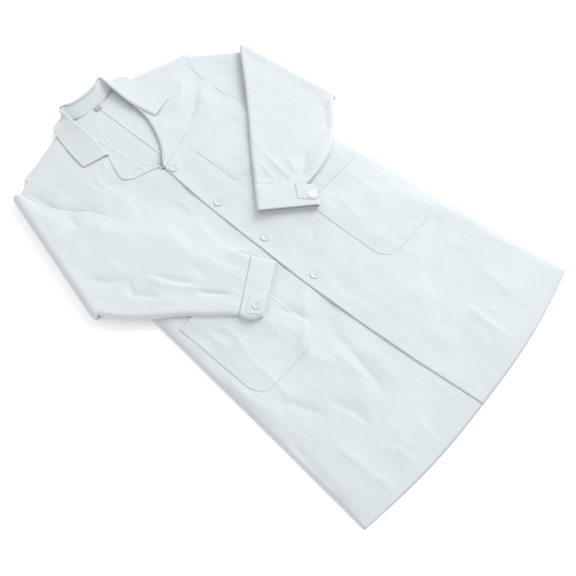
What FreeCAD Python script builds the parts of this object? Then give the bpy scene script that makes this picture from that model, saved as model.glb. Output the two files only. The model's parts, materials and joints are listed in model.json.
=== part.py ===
"""A buttoned lab coat lying on its back with both forearms folded over its front.

Origin on the table under the centre of the back neck seam. +X is the wearer's left, +Y runs from the
hem towards the collar, +Z is up, millimetres. Each cloth piece is a thin solid in the layer where it lies.
"""
import FreeCAD
import Part
import Sketcher
import os
import re
from FreeCAD import Vector

# Driving dimensions. A "_drop" or "_length" is measured down the coat from the back neck.
SIZES = {
    "cloth": 1.5, "facing_cloth": 1.0, "cuff_ply": 2.0, "interlining": 0.5, "play": 0.4, "seam": 3.0,
    "body_gap": 6.5, "sleeve_gap": 6.0, "pocket_gap": 4.5,
    "back_neck": 2.0, "neck_half": 66.0, "neck_rise": 22.0, "neck_shift": 10.0,
    "shoulder_half": 238.0, "shoulder_drop": 34.0,
    "armhole_half": 198.0, "armhole_drop": 140.0, "chest_half": 274.0, "armpit_drop": 250.0,
    "waist_half": 282.0, "waist_drop": 450.0,
    "hem_half": 317.0, "side_length": 994.0, "centre_length": 1024.0, "hem_depth": 20.0,
    "roll_half": 60.0, "roll_drop": 58.0, "break_drop": 236.0, "break_side": 25.0,
    "edge_side": 38.0, "edge_drop": 520.0, "edge_hem_side": 15.0, "underlap": 20.0, "facing_width": 70.0,
    "notch_half": 71.0, "notch_drop": 124.0, "lapel_half": 92.0, "lapel_drop": 182.0,
    "fold_drop": 672.0, "fold_hem_half": 290.0,
    "pocket_inner": 100.0, "pocket_outer": 266.0, "pocket_top": 520.0, "pocket_bottom": 724.0,
    "pocket_corner": 35.0, "pocket_wall": 2.0,
    "chest_inner": 48.0, "chest_outer": 152.0, "chest_top": 254.0, "chest_bottom": 374.0,
    "button": 20.0, "button_thick": 3.0, "button_dish": 14.0, "dish_floor": 1.8,
    "button_hole": 1.6, "hole_pitch": 4.6,
    "button_first": 250.0, "button_pitch": 128.0, "button_side": 12.0,
    "buttonhole": 24.0, "slit": 2.4, "shank": 1.6, "pocket_band": 28.0, "chest_band": 22.0,
    "cuff_button": 18.0, "label_width": 17.0, "label_height": 12.0,
    "right_forearm_level": 16.5, "left_forearm_level": 19.5, "collar_height": 26.0,
}
SIDES = {"left": 1, "right": -1}

doc = FreeCAD.newDocument("lab_coat")
sheet = doc.addObject("Spreadsheet::Sheet", "Sizes")
for row, (alias, size) in enumerate(SIZES.items(), start=1):
    sheet.set(f"A{row}", alias)
    sheet.set(f"B{row}", str(size))
    sheet.setAlias(f"B{row}", alias)
doc.recompute()
PARTS = []


def bound(words):
    """The expression with each size's name looked up in the sheet."""
    return re.sub(r"[a-z]\w+", lambda found: "Sizes." + found.group(), str(words))


def number(words):
    """What an expression of sizes comes to, in millimetres."""
    return float(sheet.evalExpression(bound(words)))


def mirrored(points, side):
    """The same outline on the left (side 1) or the right (side -1) of the coat."""
    return [(f"{side} * ({p[0]})", *p[1:]) for p in points]


def flat_sketch(body, name, level):
    """An empty sketch lying at a level."""
    sketch = body.newObject("Sketcher::SketchObject", name)
    plane = next(f for f in body.Origin.OriginFeatures if f.Role == "XY_Plane")
    sketch.AttachmentSupport = [(plane, "")]
    sketch.MapMode = "FlatFace"
    sketch.setExpression("AttachmentOffset.Base.z", bound(level))
    return sketch


def place(sketch, index, vertex, x_words, y_words):
    """Ties one point of a sketch to the sheet, across and along the coat."""
    for kind, words in (("DistanceX", x_words), ("DistanceY", y_words)):
        size = sketch.addConstraint(Sketcher.Constraint(kind, -1, 1, index, vertex, number(words)))
        sketch.setExpression(f"Constraints[{size}]", bound(words))


def sketch_outline(body, outline, level):
    """A closed sketch through the outline's points, each bound to the sheet, lying at a level."""
    sketch = flat_sketch(body, "Outline", level)
    corners = [Vector(number(p[0]), number(p[1]), 0) for p in outline]
    for i, corner in enumerate(corners):
        sketch.addGeometry(Part.LineSegment(corner, corners[(i + 1) % len(corners)]), False)
    for i, (x_words, y_words) in enumerate(outline):
        sketch.addConstraint(Sketcher.Constraint("Coincident", i, 2, (i + 1) % len(corners), 1))
        place(sketch, i, 1, x_words, y_words)
    return sketch


def plate(label, outline, level, thickness):
    """A flat piece: the outline, padded upwards from its level."""
    body = doc.addObject("PartDesign::Body", label)
    body.Label = label
    pad = body.newObject("PartDesign::Pad", "Ply")
    pad.Profile = sketch_outline(body, outline, level)
    pad.setExpression("Length", bound(thickness))
    PARTS.append(body)
    return body


def hollow(body, outline, level, depth):
    """Cuts the outline's shape out of a body, upwards from a level."""
    cut = body.newObject("PartDesign::Pocket", "Hollow")
    cut.Profile = sketch_outline(body, outline, level)
    cut.Reversed = True
    cut.setExpression("Length", bound(depth))
    return cut


def inset(outline, walls):
    """The outline with each edge moved inwards by its wall, or outwards where the wall is negative."""
    corners = [Vector(number(p[0]), number(p[1]), 0) for p in outline]
    count = len(corners)
    turn = sum((corners[i].cross(corners[(i + 1) % count])).z for i in range(count))
    way = 1 if turn > 0 else -1
    lines = []
    for i, wall in enumerate(walls):
        run = (corners[(i + 1) % count] - corners[i]).normalize()
        lines.append((corners[i] + Vector(-run.y, run.x, 0) * way * wall, run))
    moved = []
    for i in range(count):
        (before, run_before), (after, run_after) = lines[i - 1], lines[i]
        reach = (after - before).cross(run_after).z / run_before.cross(run_after).z
        spot = before + run_before * reach
        moved.append((f"{spot.x:.4f}", f"{spot.y:.4f}"))
    return moved


# Levels, from the table up
BACK_TOP = "cloth"
RIGHT_FACING = "cloth + body_gap"
RIGHT_FRONT = f"{RIGHT_FACING} + facing_cloth"
RIGHT_TOP = f"{RIGHT_FRONT} + cloth"
LEFT_FACING = f"{RIGHT_TOP} + play"
LEFT_FRONT = f"{LEFT_FACING} + facing_cloth"
LEFT_TOP = f"{LEFT_FRONT} + cloth"
SLEEVE_LID = "cloth + sleeve_gap"
FRONT_TOP = {"left": LEFT_TOP, "right": RIGHT_TOP}
FRONT_LEVEL = {"left": LEFT_FRONT, "right": RIGHT_FRONT}

# Points of the body's outline, on the wearer's left
SHOULDER = ("shoulder_half", "-shoulder_drop")
ARMHOLE = ("armhole_half", "-armhole_drop")
ARMPIT = ("chest_half", "-armpit_drop")
WAIST = ("waist_half", "-waist_drop")
HEM_CORNER = ("hem_half", "-side_length")
HEM_THIRD = ("hem_half * 0.62", "-side_length * 0.35 - centre_length * 0.65")
BREAK = ("-break_side", "-break_drop")
FOLD_START = ("-edge_side + 1", "-fold_drop")
FOLD_END = ("fold_hem_half", "-side_length * 0.92 - centre_length * 0.08")


def neck(side):
    """Where the shoulder seam meets the collar; the neck lies a little to the wearer's right."""
    return (f"{side} * neck_half - neck_shift", "neck_rise")


def roll(side):
    """Where the lapel's roll line meets the collar."""
    return (f"{side} * roll_half - neck_shift", "-roll_drop")


def outer_edge(side):
    """From the hem corner up the side, round the armhole and along the shoulder."""
    return mirrored([HEM_CORNER, WAIST, ARMPIT, ARMHOLE, SHOULDER], side) + [neck(side)]


def back_panels():
    """Two back panels that meet at the centre seam, and their hem."""
    end = "hem_half - 2 * seam"
    third, third_y = HEM_THIRD
    for name, side in SIDES.items():
        outline = [("0", "back_neck"), ("0", "-centre_length")] + mirrored([HEM_THIRD], side)
        plate(f"{name}_back_panel", outline + outer_edge(side), "0", "cloth")
        hem = [("seam", "-centre_length + 1"), (third, f"{third_y} + 1"), (end, "-side_length + 1"),
               (end, "-side_length + hem_depth"), (third, f"{third_y} + hem_depth"),
               ("seam", "-centre_length + hem_depth")]
        plate(f"{name}_back_hem", mirrored(hem, side), BACK_TOP, "facing_cloth")
    strip = [("-seam", "0"), ("seam", "0"), ("seam", "-centre_length + hem_depth + 1"),
             ("-seam", "-centre_length + hem_depth + 1")]
    plate("centre_back_seam", strip, BACK_TOP, "facing_cloth")


def buttonhole(y_words):
    """A slit across the front, a little longer than the button."""
    start, end = "-button_side - buttonhole / 2", "-button_side + buttonhole / 2"
    low, high = f"{y_words} - slit / 2", f"{y_words} + slit / 2"
    return [(start, low), (end, low), (end, high), (start, high)]


def button_rows():
    """How far down the coat each front button is."""
    return [f"(-button_first - {k} * button_pitch)" for k in range(4)]


def left_front():
    """The front that lies on top, with its buttonholes, and the corner of its skirt that turns back."""
    outline = [roll(1), BREAK, ("-edge_side", "-edge_drop"), FOLD_START, FOLD_END] + outer_edge(1)
    panel = plate("left_front_panel", outline, LEFT_FRONT, "cloth")
    facing = plate("left_front_facing", [
        BREAK, ("-edge_side", "-edge_drop"), FOLD_START, ("facing_width - edge_side", "-fold_drop - 68"),
        ("facing_width - edge_side", "-break_drop - 30")], LEFT_FACING, "facing_cloth")
    for y_words in button_rows():
        hollow(panel, buttonhole(y_words), LEFT_FRONT, "cloth")
        hollow(facing, buttonhole(y_words), LEFT_FACING, "facing_cloth")
    corner = [("-edge_side + 0.6", "-fold_drop - 1.2"), ("-edge_hem_side", "-centre_length + 4"),
              HEM_THIRD, ("fold_hem_half - 0.8", "-side_length * 0.92 - centre_length * 0.08 - 0.3")]
    plate("left_front_corner", corner, LEFT_FRONT, "cloth")
    plate("left_corner_facing", [
        ("-edge_side + 1", "-fold_drop - 3"), ("-edge_hem_side + 1", "-centre_length + 6"),
        ("facing_width - edge_side", "-centre_length + 6"),
        ("facing_width - edge_side", "-fold_drop - 80")], LEFT_FACING, "facing_cloth")
    plate("left_front_hem", [
        ("facing_width - edge_side + 1", "-centre_length + 8"), ("hem_half * 0.62", HEM_THIRD[1] + " + 1"),
        ("fold_hem_half - 30", "-side_length * 0.92 - centre_length * 0.08"),
        ("fold_hem_half - 30", "-side_length + hem_depth"),
        ("hem_half * 0.62", HEM_THIRD[1] + " + hem_depth"),
        ("facing_width - edge_side + 1", "-centre_length + hem_depth + 4")], LEFT_FACING, "facing_cloth")


def right_front():
    """The front that lies beneath, whose edge reaches past the middle under the left one."""
    outline = [roll(-1), ("-break_side", "-break_drop"), ("underlap", "-break_drop - 50"),
               ("underlap", "-centre_length + 2"), ("-hem_half * 0.62", HEM_THIRD[1])]
    plate("right_front_panel", outline + outer_edge(-1), RIGHT_FRONT, "cloth")
    behind = "underlap - facing_width"
    facing = [("underlap - 1", "-break_drop - 51"), ("underlap - 1", "-centre_length + 4"),
              (behind, "-centre_length + 4"), (behind, "-break_drop - 30"),
              ("-break_side", "-break_drop - 2")]
    plate("right_front_facing", facing, RIGHT_FACING, "facing_cloth")
    hem = [("underlap - facing_width - 1", "-centre_length + 5"), ("-hem_half * 0.62", HEM_THIRD[1] + " + 1"),
           ("2 * seam - hem_half", "-side_length + 1"), ("2 * seam - hem_half", "-side_length + hem_depth"),
           ("-hem_half * 0.62", HEM_THIRD[1] + " + hem_depth"),
           ("underlap - facing_width - 1", "-centre_length + hem_depth + 4")]
    plate("right_front_hem", hem, RIGHT_FACING, "facing_cloth")


def lapels():
    """The turned-out top of each front, lying on the chest beside the roll line."""
    for name, side in SIDES.items():
        upper = mirrored([
            ("roll_half - 12", "-roll_drop - 46"), ("roll_half", "-roll_drop"), ("notch_half", "-notch_drop"),
            ("lapel_half", "-lapel_drop"), ("lapel_half - 15", "-lapel_drop - 21"),
            ("lapel_half - 60", "-break_drop + 16")], side)
        tail = (f"-break_side + {side} * 2 * seam", "-break_drop + 2 * seam")
        outline = [tail] + [(f"{x} - neck_shift", y) for x, y in upper]
        plate(f"{name}_lapel", outline, f"{FRONT_TOP[name]} + play", "cuff_ply")


def body_seams():
    """Felled seams that join each front to the back, and the seam round each armhole."""
    for name, side in SIDES.items():
        top = FRONT_LEVEL[name]
        side_strip = [ARMPIT, WAIST, HEM_CORNER, ("hem_half - seam", "-side_length"),
                      ("waist_half - seam", "-waist_drop"), ("chest_half - seam", "-armpit_drop")]
        plate(f"{name}_side_seam", mirrored(side_strip, side), BACK_TOP, f"{top} - cloth")
        inner_end = (neck(side)[0], "neck_rise - seam * 1.1")
        shoulder_strip = [inner_end, neck(side)] + mirrored(
            [SHOULDER, ("shoulder_half - seam", "-shoulder_drop - seam")], side)
        plate(f"{name}_shoulder_seam", shoulder_strip, BACK_TOP, f"{top} - cloth")
        round_armhole = [SHOULDER, ARMHOLE, ARMPIT, ("chest_half + seam", "-armpit_drop"),
                         ("armhole_half + seam", "-armhole_drop"), ("shoulder_half + seam", "-shoulder_drop")]
        rise = f"{FRONT_TOP[name]} - ({SLEEVE_LID})"
        plate(f"{name}_armhole_seam", mirrored(round_armhole, side), SLEEVE_LID, rise)


def pocket_outline():
    """A patch pocket with two rounded lower corners, each drawn with one cut across."""
    return [("pocket_inner", "-pocket_top"), ("pocket_inner", "-pocket_bottom + pocket_corner"),
            ("pocket_inner + 10", "-pocket_bottom + 10"), ("pocket_inner + pocket_corner", "-pocket_bottom"),
            ("pocket_outer - pocket_corner", "-pocket_bottom"), ("pocket_outer - 10", "-pocket_bottom + 10"),
            ("pocket_outer", "-pocket_bottom + pocket_corner"), ("pocket_outer", "-pocket_top")]


def top_band(inner, outer, top, depth):
    """The strip along the top of a pocket."""
    low = f"-{top} - {depth}"
    return [(inner, f"-{top}"), (outer, f"-{top}"), (outer, low), (inner, low)]


def patch_pocket(label, outline, level, depth_words):
    """A patch with its sewn edges as walls, open along its top."""
    body = plate(label, outline, level, "pocket_gap + facing_cloth")
    walls = [number("pocket_wall")] * (len(outline) - 1) + [-number("pocket_wall")]
    hollow(body, inset(outline, walls), level, depth_words)


def pockets():
    """Two hip pockets and the chest pocket, each with the turned hem along its top."""
    for name, side in SIDES.items():
        level = FRONT_TOP[name]
        patch_pocket(f"{name}_hip_pocket", mirrored(pocket_outline(), side), level, "pocket_gap")
        band = mirrored(top_band("pocket_inner", "pocket_outer", "pocket_top", "pocket_band"), side)
        plate(f"{name}_hip_pocket_hem", band, f"{level} + pocket_gap + facing_cloth", "interlining")
    chest = [("chest_inner", "-chest_top"), ("chest_inner", "-chest_bottom"),
             ("chest_outer", "-chest_bottom"), ("chest_outer", "-chest_top")]
    patch_pocket("chest_pocket", chest, LEFT_TOP, "pocket_gap")
    band = top_band("chest_inner", "chest_outer", "chest_top", "chest_band")
    plate("chest_pocket_hem", band, f"{LEFT_TOP} + pocket_gap + facing_cloth", "interlining")


# The creases where each sleeve folds, top and bottom, and the sleeve's corners beyond them.
# The cloth that rolls round a crease lies outside these lines.
CREASE = {"left": (("327", "-124"), ("349", "-384")), "right": (("-271", "-60"), ("-344", "-388"))}
FOREARM = {
    "left": [("61", "-412"), ("130", "-491"), ("269", "-447")],
    "right": [("-224", "-173"), ("-141", "-290"), ("-111", "-388"), ("-68", "-519"), ("-174", "-586"),
              ("-243", "-508")],
}
CUFF = {
    "left": [("61", "-412"), ("17", "-461"), ("108", "-544"), ("134", "-517"), ("130", "-491")],
    "right": [("-68", "-519"), ("-45", "-564"), ("-146", "-620"), ("-169", "-606"), ("-174", "-586")],
}
TAB = {
    "left": [("90", "-501"), ("114", "-475"), ("141", "-509"), ("115", "-537")],
    "right": [("-131", "-574"), ("-117", "-598"), ("-149", "-618"), ("-167", "-594")],
}
CUFF_BUTTON = {"left": (117, -519), "right": (-140, -599)}


def tube(names, outline, walls, level):
    """A flattened sleeve: an under ply with its side walls, and the top ply that closes it."""
    under, top = names
    tray = plate(under, outline, level, "cloth + sleeve_gap")
    hollow(tray, inset(outline, walls), f"{level} + cloth", "sleeve_gap")
    plate(top, outline, f"{level} + cloth + sleeve_gap", "cloth")


def sleeves():
    """Each sleeve in two lengths, either side of the crease at the elbow."""
    closed, way_out = number("seam"), -number("seam")
    for name, side in SIDES.items():
        high, low = CREASE[name]
        rim = mirrored([("chest_half + seam", "-armpit_drop"), ("armhole_half + seam", "-armhole_drop"),
                        ("shoulder_half + seam", "-shoulder_drop")], side)
        tube((f"{name}_upper_sleeve_under", f"{name}_upper_sleeve_top"), [high, low] + rim,
             [way_out, closed, way_out, way_out, closed], "0")
        level = f"{name}_forearm_level"
        arm = FOREARM[name]
        walls = {"left": [closed, way_out, closed, closed, way_out],
                 "right": [closed, closed, closed, closed, way_out, closed, closed, way_out]}[name]
        tube((f"{name}_forearm_under", f"{name}_forearm_top"), [high] + arm + [low], walls, level)
        cuff(name, level)


def cuff(name, level):
    """The band round the wrist, its interlining, and the buttoned end that laps over it."""
    outline = CUFF[name]
    band = plate(f"{name}_cuff", outline, level, "2 * cloth + sleeve_gap")
    ply, way_out = number("cuff_ply"), -number("seam")
    hollow(band, inset(outline, [ply, way_out, ply, ply, way_out]), f"{level} + cuff_ply",
           "2 * cloth + sleeve_gap - 2 * cuff_ply")
    walls = [ply + 1] * len(outline)
    plate(f"{name}_cuff_interlining", inset(outline, walls),
          f"{level} + 2 * cloth + sleeve_gap - cuff_ply - interlining", "interlining")
    plate(f"{name}_cuff_tab", TAB[name], f"{level} + 2 * cloth + sleeve_gap", "cloth")
    x, y = CUFF_BUTTON[name]
    button(f"{name}_cuff_button", "cuff_button", str(x), str(y), f"{level} + 3 * cloth + sleeve_gap")


def button(label, diameter, x_words, y_words, level):
    """A four-hole button: a disc with a dished middle and a raised rim."""
    body = doc.addObject("PartDesign::Body", label)
    body.Label = label

    def rings(name, circles, height):
        """A sketch of circles, each with its middle and its diameter bound to the sheet."""
        sketch = flat_sketch(body, name, height)
        for i, (x, y, across) in enumerate(circles):
            middle = Vector(number(x), number(y), 0)
            sketch.addGeometry(Part.Circle(middle, Vector(0, 0, 1), number(across) / 2), False)
            size = sketch.addConstraint(Sketcher.Constraint("Diameter", i, number(across)))
            sketch.setExpression(f"Constraints[{size}]", bound(across))
            place(sketch, i, 3, x, y)
        return sketch

    pad = body.newObject("PartDesign::Pad", "Disc")
    pad.Profile = rings("Rim", [(x_words, y_words, diameter)], level)
    pad.setExpression("Length", bound("button_thick"))
    dish = body.newObject("PartDesign::Pocket", "Dish")
    dish.Profile = rings("Inside", [(x_words, y_words, f"{diameter} - button + button_dish")],
                         f"{level} + dish_floor")
    dish.Reversed = True
    dish.setExpression("Length", bound("button_thick"))
    holes = [(f"{x_words} + {i} * hole_pitch / 2", f"{y_words} + {j} * hole_pitch / 2", "button_hole")
             for i in (-1, 1) for j in (-1, 1)]
    drilled = body.newObject("PartDesign::Pocket", "Holes")
    drilled.Profile = rings("Eyes", holes, level)
    drilled.Reversed = True
    drilled.setExpression("Length", bound("button_thick"))
    PARTS.append(body)


def front_buttons():
    """Four buttons on the left front, each held to the right front by a thread shank."""
    shanks = []
    for count, y_words in enumerate(button_rows(), start=1):
        button(f"front_button_{count}", "button", "-button_side", y_words, LEFT_TOP)
        foot = Vector(number("-button_side"), number(y_words), number(RIGHT_TOP))
        shanks.append(Part.makeCylinder(number("shank / 2"), number(LEFT_TOP) - number(RIGHT_TOP), foot))
    threads = doc.addObject("Part::Feature", "button_thread_shanks")
    threads.Label = "button_thread_shanks"
    threads.Shape = Part.makeCompound(shanks)
    PARTS.append(threads)


def neck_label():
    """A small woven label sewn in at the back neck."""
    left_side, right_side = "label_width / 2 - neck_shift / 2", "-label_width / 2 - neck_shift / 2"
    low, high = "-label_height + back_neck", "back_neck"
    outline = [(right_side, low), (left_side, low), (left_side, high), (right_side, high)]
    plate("neck_label", outline, f"{BACK_TOP} + facing_cloth", "interlining")


# The collar's run from its front end to the back of the neck, on the wearer's left:
# the seam at the neck, the roll line and the outer edge, each x, y, z
def collar_run():
    """Cross-sections of the collar, as the seam, roll and edge points of each."""
    leaf = number(LEFT_TOP) + number("play")
    high = number("collar_height")
    return [
        (Vector(84, -104, leaf), Vector(72, -123, leaf), Vector(126, -104, leaf)),
        (Vector(72, -54, leaf), Vector(60, -57, leaf + 4), Vector(120, -54, leaf)),
        (Vector(70, -4, leaf), Vector(61, 0, leaf + 7), Vector(111, -8, leaf)),
        (Vector(66, 17, leaf), Vector(60, 44, high), Vector(96, 22, leaf)),
        (Vector(34, 6, 5), Vector(32, 36, high - 1), Vector(34, 44, 2)),
        (Vector(0, 3, 3), Vector(0, 33, high - 2), Vector(0, 41, 2)),
    ]


def whole_run(half):
    """The run mirrored to the right, joined at the back of the neck and moved over with the neck."""
    right = [tuple(Vector(-p.x, p.y, p.z) for p in section) for section in half]
    shift = Vector(-number("neck_shift"), 0, 0)
    return [tuple(p + shift for p in section) for section in right + half[-2::-1]]


def triangle(a, b, c):
    """One flat three-cornered face."""
    return Part.Face(Part.makePolygon([a, b, c, a]))


def ply_loft(label, sections, low, high):
    """A faceted ply through the sections, each an inner point, an outer point and the way it is thick."""
    rings = []
    for inner, outer, way in sections:
        rings.append([inner + way * low, outer + way * low, outer + way * high, inner + way * high])
    faces = []
    for ring in (rings[0], rings[-1]):
        faces += [triangle(ring[0], ring[1], ring[2]), triangle(ring[0], ring[2], ring[3])]
    for ring, after in zip(rings, rings[1:]):
        for i, j in ((0, 1), (1, 2), (3, 2), (0, 3)):
            faces += [triangle(ring[i], ring[j], after[j]), triangle(ring[i], after[j], after[i])]
    ply = doc.addObject("Part::Feature", label)
    ply.Label = label
    shell = Part.makeShell(faces)
    shell.sewShape()
    solid = Part.makeSolid(shell)
    if solid.Volume < 0:
        solid.reverse()
    ply.Shape = solid
    PARTS.append(ply)


def outward(inner, outer):
    """The unit vector square to the ply on its upper, outer side."""
    run = (outer - inner).normalize()
    side = run.cross(Vector(0, 0, 1))
    return side.cross(run).normalize() if side.Length > 1e-6 else Vector(0, 1, 0)


def collar():
    """The stand that rises from the neck seam, and the fall's two plies with their interlining."""
    run = whole_run(collar_run())
    ply = number("facing_cloth")
    core = number("interlining")
    stand = [(seam, roll - Vector(0, 0, ply * 3), Vector(0, 0, 1)) for seam, roll, edge in run[1:-1]]
    ply_loft("collar_stand", stand, 0, ply)
    falls = [(roll, edge, Vector(0, 0, 1) if edge.y < 0 else outward(roll, edge)) for seam, roll, edge in run]
    ply_loft("under_collar", falls, 0, ply)
    ply_loft("collar_interlining", falls, ply, ply + core)
    ply_loft("upper_collar", falls, ply + core, 2 * ply + core)


back_panels()
right_front()
left_front()
body_seams()
lapels()
pockets()
sleeves()
front_buttons()
neck_label()
collar()
doc.recompute()

for item in doc.Objects:
    if {"Invalid", "Error"} & set(item.State):
        raise RuntimeError(f"{item.Name} failed: {item.State}")
os.makedirs("parts", exist_ok=True)
for part in PARTS:
    if part.Shape.isNull() or not part.Shape.isValid():
        raise RuntimeError(f"{part.Label} has no valid shape")
    part.Shape.exportStep(f"parts/{part.Label}.step")
print(len(PARTS), "sub-parts written")
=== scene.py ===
"""A white lab coat lying on its back, its forearms folded over the front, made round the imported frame."""
import json
import math

import bpy
import numpy as np
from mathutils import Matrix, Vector


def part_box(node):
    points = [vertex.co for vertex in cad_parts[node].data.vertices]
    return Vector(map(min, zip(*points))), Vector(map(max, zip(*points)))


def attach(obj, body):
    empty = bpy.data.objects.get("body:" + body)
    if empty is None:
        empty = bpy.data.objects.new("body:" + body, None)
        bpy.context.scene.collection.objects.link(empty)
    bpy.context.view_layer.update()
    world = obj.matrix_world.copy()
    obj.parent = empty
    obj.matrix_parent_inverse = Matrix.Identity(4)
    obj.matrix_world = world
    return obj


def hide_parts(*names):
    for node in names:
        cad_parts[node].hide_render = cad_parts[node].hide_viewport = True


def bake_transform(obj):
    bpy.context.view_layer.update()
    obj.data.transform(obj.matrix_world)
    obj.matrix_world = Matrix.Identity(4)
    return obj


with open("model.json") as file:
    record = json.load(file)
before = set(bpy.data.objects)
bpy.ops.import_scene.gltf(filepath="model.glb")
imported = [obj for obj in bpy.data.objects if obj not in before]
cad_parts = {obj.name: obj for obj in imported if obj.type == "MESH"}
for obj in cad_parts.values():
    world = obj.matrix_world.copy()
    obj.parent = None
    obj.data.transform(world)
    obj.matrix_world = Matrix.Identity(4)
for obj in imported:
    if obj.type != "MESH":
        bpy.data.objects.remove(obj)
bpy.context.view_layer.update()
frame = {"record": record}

MM = 0.001
CLOTH = 0.55            # thickness of the coat's cloth
STEP = 3.6              # size of the cloth's grid
ROOT = "root"
LEFT, RIGHT = 1, -1     # the wearer's, and the sign of X there
SIDE_NAME = {LEFT: "left", RIGHT: "right"}


# ======== the frame, in millimetres
def box(node):
    """A CAD node's lowest and highest corners."""
    low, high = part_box(node)
    return np.array(low) / MM, np.array(high) / MM


def hinge(name):
    """A joint's pivot and its axis in plan."""
    found = next(j for j in frame["record"]["behaviour"]["joints"] if j["name"] == name)
    return np.array(found["pos_m"]) / MM, np.array(found["axis"])


BACK_LOW, BACK_HIGH = box("left_back_panel")
HEM_HALF = BACK_HIGH[0]
HEM_Y, NECK_Y = BACK_LOW[1], BACK_HIGH[1]
TOP = {LEFT: box("left_front_panel")[1][2], RIGHT: box("right_front_panel")[1][2]}
FOREARM_LOW = {s: box(f"{SIDE_NAME[s]}_forearm_under")[0][2] for s in (LEFT, RIGHT)}
UNDERLAP = box("right_front_panel")[1][0]


# ======== lines and shapes
def smooth(t):
    """An even rise from 0 to 1."""
    t = np.clip(t, 0, 1)
    return t * t * (3 - 2 * t)


def noise(x, y, size, seed):
    """Smooth random heights between -1 and 1, with bumps about size across."""
    lattice = np.random.default_rng(seed).uniform(-1, 1, (400, 400))
    gx, gy = x / size + 190.5, y / size + 190.5
    ix, iy = np.floor(gx).astype(int), np.floor(gy).astype(int)
    fx, fy = smooth(gx - ix), smooth(gy - iy)
    ix, iy = ix % 399, iy % 399
    near = lattice[ix, iy] * (1 - fx) + lattice[ix + 1, iy] * fx
    far = lattice[ix, iy + 1] * (1 - fx) + lattice[ix + 1, iy + 1] * fx
    return near * (1 - fy) + far * fy


def creased(x, y, size, seed):
    """Random heights with sharp ridges between smooth hollows, from 0 to 1."""
    return (1 - np.abs(noise(x, y, size, seed))) ** 3


def rumple(x, y, seed, size=1.0):
    """The small unevenness of cotton that has been folded and laid out again."""
    warp_x, warp_y = x + 14 * noise(x, y, 60, seed + 7), y + 14 * noise(x, y, 60, seed + 8)
    soft = 0.9 * noise(x, y * 0.7, 95, seed) + 0.45 * noise(x, y, 38, seed + 1)
    sharp = (1.1 * creased(warp_x, warp_y * 0.55, 70, seed + 2)
             + 0.55 * creased(warp_x, warp_y * 0.7, 31, seed + 3))
    fine = 0.16 * creased(warp_x, warp_y, 12, seed + 4) + 0.08 * noise(x, y, 6, seed + 5)
    return size * (soft + sharp + fine - 0.5)


def reach(x, y, line):
    """Distance to a line of points, positive on its left, and how far along it that is, 0 to 1."""
    line = np.asarray(line, float)
    steps = np.linalg.norm(np.diff(line, axis=0), axis=1)
    total, before = steps.sum(), 0.0
    best, side, along = np.full(np.shape(x), 1e9), np.ones(np.shape(x)), np.zeros(np.shape(x))
    for (ax, ay), (bx, by), step in zip(line, line[1:], steps):
        dx, dy = (bx - ax) / step, (by - ay) / step
        run = np.clip((x - ax) * dx + (y - ay) * dy, 0, step)
        gap = np.hypot(x - ax - run * dx, y - ay - run * dy)
        closer = gap < best
        best = np.where(closer, gap, best)
        side = np.where(closer, np.where(dx * (y - ay) - dy * (x - ax) >= 0, 1.0, -1.0), side)
        along = np.where(closer, (before + run) / total, along)
        before += step
    return best * side, along


def distance(x, y, line):
    return np.abs(reach(x, y, line)[0])


def bell(t):
    return np.exp(-t ** 2)


def fold(x, y, line, height, left, right=None, ends=0.3):
    """A ridge, or a valley if height is negative, along a line, with its own width on each side."""
    gap, along = reach(x, y, line)
    width = np.where(gap > 0, left, left if right is None else right)
    taper = smooth(np.minimum(along, 1 - along) / ends) if ends else 1.0
    rounding = 1.2
    return height * np.exp(-(np.sqrt(gap**2 + rounding**2) - rounding) / width) * taper


def folds(x, y, strokes):
    """Several folds added up."""
    total = np.zeros(np.shape(x))
    for stroke in strokes:
        total = total + fold(x, y, *stroke)
    return total


def shares(count):
    return np.linspace(0, 1, count)


def at(line, fractions):
    """Points at these fractions of a line's length."""
    line = np.asarray(line, float)
    steps = np.concatenate([[0], np.cumsum(np.linalg.norm(np.diff(line, axis=0), axis=1))])
    where = np.asarray(fractions) * steps[-1]
    return np.stack([np.interp(where, steps, line[:, k]) for k in range(line.shape[1])], axis=-1)


def bend(line, count=12):
    """A smooth curve through a line's points."""
    p = np.asarray(line, float)
    p = np.vstack([2 * p[0] - p[1], p, 2 * p[-1] - p[-2]])
    out = []
    for a, b, c, d in zip(p, p[1:], p[2:], p[3:]):
        for t in np.linspace(0, 1, count, endpoint=False):
            m0, m1 = (c - a) / 2, (d - b) / 2
            out.append((2 * t**3 - 3 * t**2 + 1) * b + (t**3 - 2 * t**2 + t) * m0
                       + (-2 * t**3 + 3 * t**2) * c + (t**3 - t**2) * m1)
    return np.array(out + [p[-2]])


def edge_roll(gap, width):
    """How cloth turns down towards an edge that it is rolled over: 0 at the edge, 1 beyond width."""
    t = 1 - np.clip(gap / width, 0, 1)
    return np.sqrt(np.maximum(1 - t * t, 0))


def within(x, y, outline):
    """Whether each point is inside a closed outline."""
    inside = np.zeros(np.shape(x), bool)
    for (ax, ay), (bx, by) in zip(outline, np.roll(outline, -1, axis=0)):
        crosses = (ay > y) != (by > y)
        cut = ax + (y - ay) / (by - ay if by != ay else 1e-9) * (bx - ax)
        inside ^= crosses & (x < cut)
    return inside


def mirror(points, side):
    """Points drawn for the wearer's left, moved over to a side."""
    return [(side * x, *rest) for x, *rest in points]


# ======== meshes
def link(name, data, material=None):
    """A new object in the scene with this mesh, light or camera."""
    made = bpy.data.objects.new(name, data)
    bpy.context.scene.collection.objects.link(made)
    if material:
        data.materials.append(material)
    return made


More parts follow.
